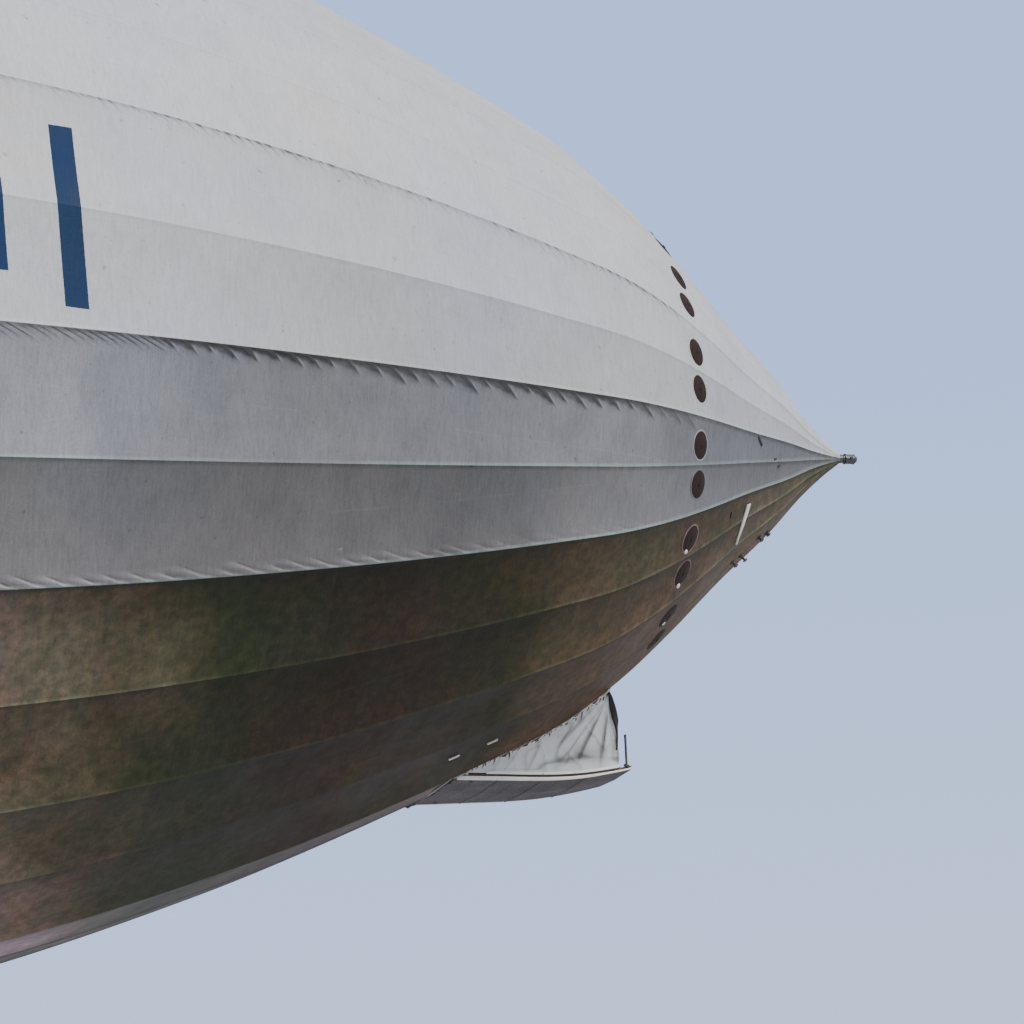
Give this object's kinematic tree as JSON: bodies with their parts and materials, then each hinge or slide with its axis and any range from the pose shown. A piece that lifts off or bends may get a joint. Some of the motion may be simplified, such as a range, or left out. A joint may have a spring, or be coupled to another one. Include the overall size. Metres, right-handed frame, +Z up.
{
  "type": "rigid airship at 1:10 scale",
  "caption": "Long streamlined rigid airship with a doped fabric cover, bow gangway let down between canvas screens, hung engine cars, control car and cross tail.",
  "frame": {"origin": "on the hull's axis at its centre of buoyancy, where the air holds the ship up", "axes": "+X to the bow along the hull's axis, +Y to port, +Z up"},
  "size_m": [22.317, 3.988, 4.24],
  "materials": {
    "doped_cover": "aluminium-doped linen, satin",
    "nose_metal": "painted metal, satin",
    "spindle_steel": "machined steel",
    "car_aluminium": "satin sheet metal",
    "engine_iron": "dark casting",
    "strut_steel": "painted tube",
    "airscrew_wood": "varnished wood",
    "control_car_metal": "satin sheet metal",
    "car_glass": "clear glass",
    "hinge_steel": "steel rod",
    "screen_canvas": "thin white canvas",
    "gangway_cover": "aluminium-doped linen, weathered",
    "deck_wood": "bare planks",
    "kerb_paint": "dark red-brown paint",
    "rail_paint": "white paint"
  },
  "bodies": {
    "hull": {"mooring_spindle": "spindle_steel", "nose_cone": "nose_metal", "bow_vent_cover": "doped_cover", "bow_cover": "doped_cover", "hull_bay_1": "doped_cover", "hull_bay_2": "doped_cover", "hull_bay_3": "doped_cover", "hull_bay_4": "doped_cover", "hull_bay_5": "doped_cover", "hull_bay_6": "doped_cover", "hull_bay_7": "doped_cover", "hull_bay_8": "doped_cover", "hull_bay_9": "doped_cover", "hull_bay_10": "doped_cover", "hull_bay_11": "doped_cover", "hull_bay_12": "doped_cover", "tail_cone": "doped_cover", "upper_fin": "doped_cover", "port_fin": "doped_cover", "lower_fin": "doped_cover", "starboard_fin": "doped_cover", "forward_starboard_engine_car": "car_aluminium", "forward_starboard_engine": "engine_iron", "forward_starboard_car_struts": "strut_steel", "forward_port_engine_car": "car_aluminium", "forward_port_engine": "engine_iron", "forward_port_car_struts": "strut_steel", "aft_starboard_engine_car": "car_aluminium", "aft_starboard_engine": "engine_iron", "aft_starboard_car_struts": "strut_steel", "aft_port_engine_car": "car_aluminium", "aft_port_engine": "engine_iron", "aft_port_car_struts": "strut_steel", "centre_engine_car": "car_aluminium", "centre_engine": "engine_iron", "centre_car_struts": "strut_steel", "control_car": "control_car_metal", "control_car_glass": "car_glass", "gangway_hinge_rod": "hinge_steel", "gangway_screen_port": "screen_canvas", "gangway_screen_starboard": "screen_canvas"},
    "gangway": {"gangway_panel": "gangway_cover", "gangway_deck": "deck_wood", "gangway_rail_port": "rail_paint", "gangway_rail_starboard": "rail_paint", "gangway_kerb_port": "kerb_paint", "gangway_kerb_starboard": "kerb_paint"},
    "upper_rudder": {"upper_rudder": "doped_cover"},
    "lower_rudder": {"lower_rudder": "doped_cover"},
    "port_elevator": {"port_elevator": "doped_cover"},
    "starboard_elevator": {"starboard_elevator": "doped_cover"},
    "forward_starboard_airscrew": {"forward_starboard_airscrew": "airscrew_wood"},
    "forward_port_airscrew": {"forward_port_airscrew": "airscrew_wood"},
    "aft_starboard_airscrew": {"aft_starboard_airscrew": "airscrew_wood"},
    "aft_port_airscrew": {"aft_port_airscrew": "airscrew_wood"},
    "centre_airscrew": {"centre_airscrew": "airscrew_wood"}
  },
  "joints": [
    {"name": "gangway_hinge", "type": "hinge", "parent": "hull", "child": "gangway", "pos_m": [9.42, 0, -0.856], "axis": [0, -1, 0], "range_deg": [0, 23.9]},
    {"name": "upper_rudder_hinge", "type": "hinge", "parent": "hull", "child": "upper_rudder", "pos_m": [-10.73, 0, 0.9], "axis": [0, 0, 1], "range_deg": [-20, 20]},
    {"name": "lower_rudder_hinge", "type": "hinge", "parent": "hull", "child": "lower_rudder", "pos_m": [-10.73, 0, -0.9], "axis": [0, 0, 1], "range_deg": [-20, 20]},
    {"name": "port_elevator_hinge", "type": "hinge", "parent": "hull", "child": "port_elevator", "pos_m": [-10.73, 0.9, 0], "axis": [0, -1, 0], "range_deg": [-20, 20]},
    {"name": "starboard_elevator_hinge", "type": "hinge", "parent": "hull", "child": "starboard_elevator", "pos_m": [-10.73, -0.9, 0], "axis": [0, -1, 0], "range_deg": [-20, 20]},
    {"name": "forward_starboard_airscrew_turn", "type": "hinge", "parent": "hull", "child": "forward_starboard_airscrew", "pos_m": [3.522, -1.02124, -1.92066], "axis": [1, 0, 0], "continuous": true},
    {"name": "forward_port_airscrew_turn", "type": "hinge", "parent": "hull", "child": "forward_port_airscrew", "pos_m": [3.522, 1.02124, -1.92066], "axis": [1, 0, 0], "continuous": true},
    {"name": "aft_starboard_airscrew_turn", "type": "hinge", "parent": "hull", "child": "aft_starboard_airscrew", "pos_m": [-3.278, -0.97205, -1.82816], "axis": [1, 0, 0], "continuous": true},
    {"name": "aft_port_airscrew_turn", "type": "hinge", "parent": "hull", "child": "aft_port_airscrew", "pos_m": [-3.278, 0.97205, -1.82816], "axis": [1, 0, 0], "continuous": true},
    {"name": "centre_airscrew_turn", "type": "hinge", "parent": "hull", "child": "centre_airscrew", "pos_m": [-5.978, 0, -1.76145], "axis": [1, 0, 0], "continuous": true}
  ],
  "couplings": [
    {"joint": "lower_rudder_hinge", "follows": "upper_rudder_hinge", "ratio": 1},
    {"joint": "starboard_elevator_hinge", "follows": "port_elevator_hinge", "ratio": 1}
  ]
}
